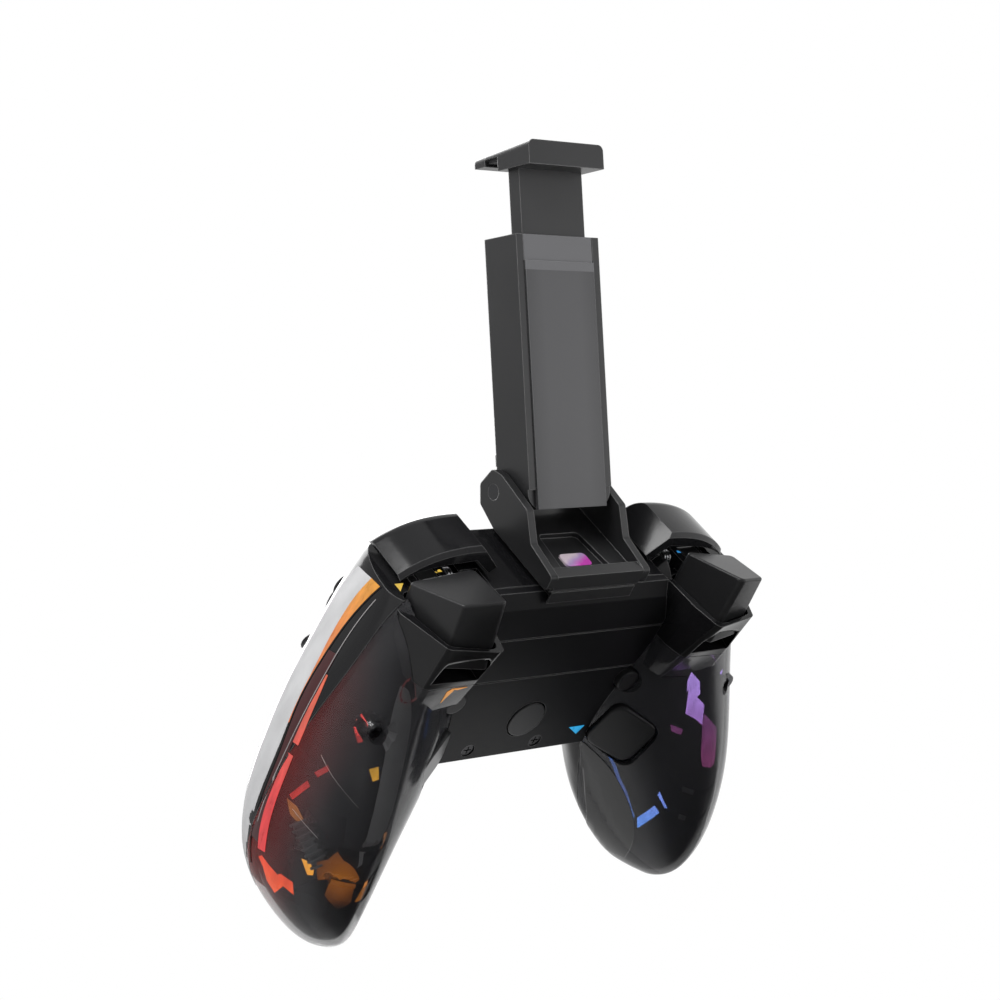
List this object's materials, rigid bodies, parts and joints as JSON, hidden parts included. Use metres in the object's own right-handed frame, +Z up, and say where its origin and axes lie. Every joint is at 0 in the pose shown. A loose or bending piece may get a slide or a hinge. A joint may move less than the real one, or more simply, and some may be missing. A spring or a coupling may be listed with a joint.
{
  "type": "gamepad",
  "caption": "Wireless gamepad with clear grips, rear paddles and buttons, analogue triggers and a fold-out phone clamp.",
  "frame": {"origin": "middle of the bounding box, at the surface the gamepad lies on", "axes": "+X to the player's right, +Y towards the triggers and the clamp, +Z up with the face buttons up"},
  "size_m": [0.149, 0.191, 0.0856],
  "materials": {
    "smoke_clear": "clear smoked plastic, gloss",
    "gloss_black": "gloss black plastic",
    "satin_black": "satin black plastic",
    "matte_black": "matte black plastic",
    "arm_grey": "satin grey plastic",
    "rubber_black": "soft rubber",
    "steel": "steel",
    "board_green": "circuit board",
    "battery_wrap": "battery wrap",
    "guide_clear": "light guide",
    "guide_clear_left": "light guide",
    "socket_metal": "plated steel",
    "window_clear": "clear window"
  },
  "bodies": {
    "gamepad_body": {"front_shell": "gloss_black", "rear_shell_right": "smoke_clear", "rear_shell_left": "smoke_clear", "back_plate": "matte_black", "right_trigger_guard": "gloss_black", "left_trigger_guard": "gloss_black", "trigger_pins": "steel", "trigger_springs": "steel", "shell_screws": "steel", "main_board": "board_green", "battery": "battery_wrap", "usb_port": "socket_metal", "button_mat": "rubber_black", "right_light_guide": "guide_clear", "left_light_guide": "guide_clear_left", "led_strips": "board_green", "right_motor": "steel", "left_motor": "steel", "cable_connector": "matte_black", "right_stick_base": "matte_black", "left_stick_base": "matte_black", "clip_foot": "satin_black", "tray": "satin_black", "tray_window": "window_clear", "tilt_pin": "steel"},
    "right_trigger_body": {"right_trigger": "satin_black"},
    "right_bumper_body": {"right_bumper": "gloss_black"},
    "right_paddle_body": {"right_paddle": "satin_black"},
    "right_rear_button_body": {"right_rear_button": "satin_black"},
    "right_stick_yoke_body": {"right_stick_yoke": "matte_black"},
    "right_stick_rocker_body": {"right_stick_rocker": "matte_black"},
    "right_stick_head": {"right_stick_shaft": "steel", "right_stick_cap": "rubber_black"},
    "right_motor_rotor": {"right_motor_weight": "steel"},
    "left_trigger_body": {"left_trigger": "satin_black"},
    "left_bumper_body": {"left_bumper": "gloss_black"},
    "left_paddle_body": {"left_paddle": "satin_black"},
    "left_rear_button_body": {"left_rear_button": "satin_black"},
    "left_stick_yoke_body": {"left_stick_yoke": "matte_black"},
    "left_stick_rocker_body": {"left_stick_rocker": "matte_black"},
    "left_stick_head": {"left_stick_shaft": "steel", "left_stick_cap": "rubber_black"},
    "left_motor_rotor": {"left_motor_weight": "steel"},
    "rear_centre_button_body": {"rear_centre_button": "satin_black"},
    "dpad_pivot_body": {"dpad_pivot": "matte_black"},
    "dpad_body": {"dpad_cap": "gloss_black"},
    "button_south_body": {"button_south": "gloss_black"},
    "button_east_body": {"button_east": "gloss_black"},
    "button_west_body": {"button_west": "gloss_black"},
    "button_north_body": {"button_north": "gloss_black"},
    "home_button_body": {"home_button": "gloss_black"},
    "turbo_button_body": {"turbo_button": "gloss_black"},
    "select_button_body": {"select_button": "gloss_black"},
    "start_button_body": {"start_button": "gloss_black"},
    "clamp_arm": {"arm_housing": "satin_black", "arm_cover": "arm_grey", "lower_jaw_pad": "rubber_black"},
    "clamp_slider": {"slider_bar": "satin_black", "upper_jaw": "satin_black", "upper_jaw_pad": "rubber_black"}
  },
  "joints": [
    {"name": "right_trigger_pull", "type": "hinge", "parent": "gamepad_body", "child": "right_trigger_body", "pos_m": [0.044, -0.00073, 0.02641], "axis": [-1, 0, 0], "range_deg": [0, 11], "stiffness_Nm_per_rad": 0.55, "springref_deg": -6.88},
    {"name": "right_bumper_press", "type": "hinge", "parent": "gamepad_body", "child": "right_bumper_body", "pos_m": [0.0264, 0.00392, 0.02963], "axis": [0, -0.1801, -0.9836], "range_deg": [0, 1.8], "stiffness_Nm_per_rad": 6},
    {"name": "right_paddle_press", "type": "slide", "parent": "gamepad_body", "child": "right_paddle_body", "axis": [0.5417, 0.1514, 0.8268], "range_m": [0, 0.001], "stiffness_N_per_m": 900},
    {"name": "right_rear_button_press", "type": "slide", "parent": "gamepad_body", "child": "right_rear_button_body", "axis": [0, 0.1801, 0.9836], "range_m": [0, 0.0006], "stiffness_N_per_m": 900},
    {"name": "right_stick_forward", "type": "hinge", "parent": "gamepad_body", "child": "right_stick_yoke_body", "pos_m": [0.028, -0.03506, 0.0388], "axis": [1, 0, 0], "range_deg": [-17, 17], "stiffness_Nm_per_rad": 0.06},
    {"name": "right_stick_sideways", "type": "hinge", "parent": "right_stick_yoke_body", "child": "right_stick_rocker_body", "pos_m": [0.028, -0.03506, 0.0388], "axis": [0, 0.9836, -0.1801], "range_deg": [-17, 17], "stiffness_Nm_per_rad": 0.06},
    {"name": "right_stick_click", "type": "slide", "parent": "right_stick_rocker_body", "child": "right_stick_head", "axis": [0, -0.1801, -0.9836], "range_m": [0, 0.0004], "stiffness_N_per_m": 3000},
    {"name": "right_motor_spin", "type": "hinge", "parent": "gamepad_body", "child": "right_motor_rotor", "pos_m": [0.056, -0.06746, 0.02846], "axis": [0, 0.9836, -0.1801], "continuous": true},
    {"name": "left_trigger_pull", "type": "hinge", "parent": "gamepad_body", "child": "left_trigger_body", "pos_m": [-0.044, -0.00073, 0.02641], "axis": [-1, 0, 0], "range_deg": [0, 11], "stiffness_Nm_per_rad": 0.55, "springref_deg": -6.88},
    {"name": "left_bumper_press", "type": "hinge", "parent": "gamepad_body", "child": "left_bumper_body", "pos_m": [-0.0264, 0.00392, 0.02963], "axis": [0, 0.1801, 0.9836], "range_deg": [0, 1.8], "stiffness_Nm_per_rad": 6},
    {"name": "left_paddle_press", "type": "slide", "parent": "gamepad_body", "child": "left_paddle_body", "axis": [-0.5417, 0.1514, 0.8268], "range_m": [0, 0.001], "stiffness_N_per_m": 900},
    {"name": "left_rear_button_press", "type": "slide", "parent": "gamepad_body", "child": "left_rear_button_body", "axis": [0, 0.1801, 0.9836], "range_m": [0, 0.0006], "stiffness_N_per_m": 900},
    {"name": "left_stick_forward", "type": "hinge", "parent": "gamepad_body", "child": "left_stick_yoke_body", "pos_m": [-0.043, -0.01638, 0.03538], "axis": [1, 0, 0], "range_deg": [-17, 17], "stiffness_Nm_per_rad": 0.06},
    {"name": "left_stick_sideways", "type": "hinge", "parent": "left_stick_yoke_body", "child": "left_stick_rocker_body", "pos_m": [-0.043, -0.01638, 0.03538], "axis": [0, 0.9836, -0.1801], "range_deg": [-17, 17], "stiffness_Nm_per_rad": 0.06},
    {"name": "left_stick_click", "type": "slide", "parent": "left_stick_rocker_body", "child": "left_stick_head", "axis": [0, -0.1801, -0.9836], "range_m": [0, 0.0004], "stiffness_N_per_m": 3000},
    {"name": "left_motor_spin", "type": "hinge", "parent": "gamepad_body", "child": "left_motor_rotor", "pos_m": [-0.056, -0.06746, 0.02846], "axis": [0, 0.9836, -0.1801], "continuous": true},
    {"name": "rear_centre_button_press", "type": "slide", "parent": "gamepad_body", "child": "rear_centre_button_body", "axis": [0, 0.1801, 0.9836], "range_m": [0, 0.0005], "stiffness_N_per_m": 900},
    {"name": "dpad_up_down", "type": "hinge", "parent": "gamepad_body", "child": "dpad_pivot_body", "pos_m": [-0.025, -0.03494, 0.03949], "axis": [1, 0, 0], "range_deg": [-4, 4], "stiffness_Nm_per_rad": 0.8},
    {"name": "dpad_left_right", "type": "hinge", "parent": "dpad_pivot_body", "child": "dpad_body", "pos_m": [-0.025, -0.03494, 0.03949], "axis": [0, 0.9836, -0.1801], "range_deg": [-4, 4], "stiffness_Nm_per_rad": 0.8},
    {"name": "button_south_press", "type": "slide", "parent": "gamepad_body", "child": "button_south_body", "axis": [0, -0.1801, -0.9836], "range_m": [0, 0.0012], "stiffness_N_per_m": 700},
    {"name": "button_east_press", "type": "slide", "parent": "gamepad_body", "child": "button_east_body", "axis": [0, -0.1801, -0.9836], "range_m": [0, 0.0012], "stiffness_N_per_m": 700},
    {"name": "button_west_press", "type": "slide", "parent": "gamepad_body", "child": "button_west_body", "axis": [0, -0.1801, -0.9836], "range_m": [0, 0.0012], "stiffness_N_per_m": 700},
    {"name": "button_north_press", "type": "slide", "parent": "gamepad_body", "child": "button_north_body", "axis": [0, -0.1801, -0.9836], "range_m": [0, 0.0012], "stiffness_N_per_m": 700},
    {"name": "home_button_press", "type": "slide", "parent": "gamepad_body", "child": "home_button_body", "axis": [0, -0.1801, -0.9836], "range_m": [0, 0.0007], "stiffness_N_per_m": 700},
    {"name": "turbo_button_press", "type": "slide", "parent": "gamepad_body", "child": "turbo_button_body", "axis": [0, -0.1801, -0.9836], "range_m": [0, 0.0007], "stiffness_N_per_m": 700},
    {"name": "select_button_press", "type": "slide", "parent": "gamepad_body", "child": "select_button_body", "axis": [0, -0.1801, -0.9836], "range_m": [0, 0.0007], "stiffness_N_per_m": 700},
    {"name": "start_button_press", "type": "slide", "parent": "gamepad_body", "child": "start_button_body", "axis": [0, -0.1801, -0.9836], "range_m": [0, 0.0007], "stiffness_N_per_m": 700},
    {"name": "arm_tilt", "type": "hinge", "parent": "gamepad_body", "child": "clamp_arm", "pos_m": [0, 0.0139, 0.03969], "axis": [1, 0, 0], "range_deg": [-15, 90]},
    {"name": "clamp_slide", "type": "slide", "parent": "clamp_arm", "child": "clamp_slider", "axis": [0, 0.8693, 0.4943], "range_m": [-0.016, 0.014]}
  ]
}
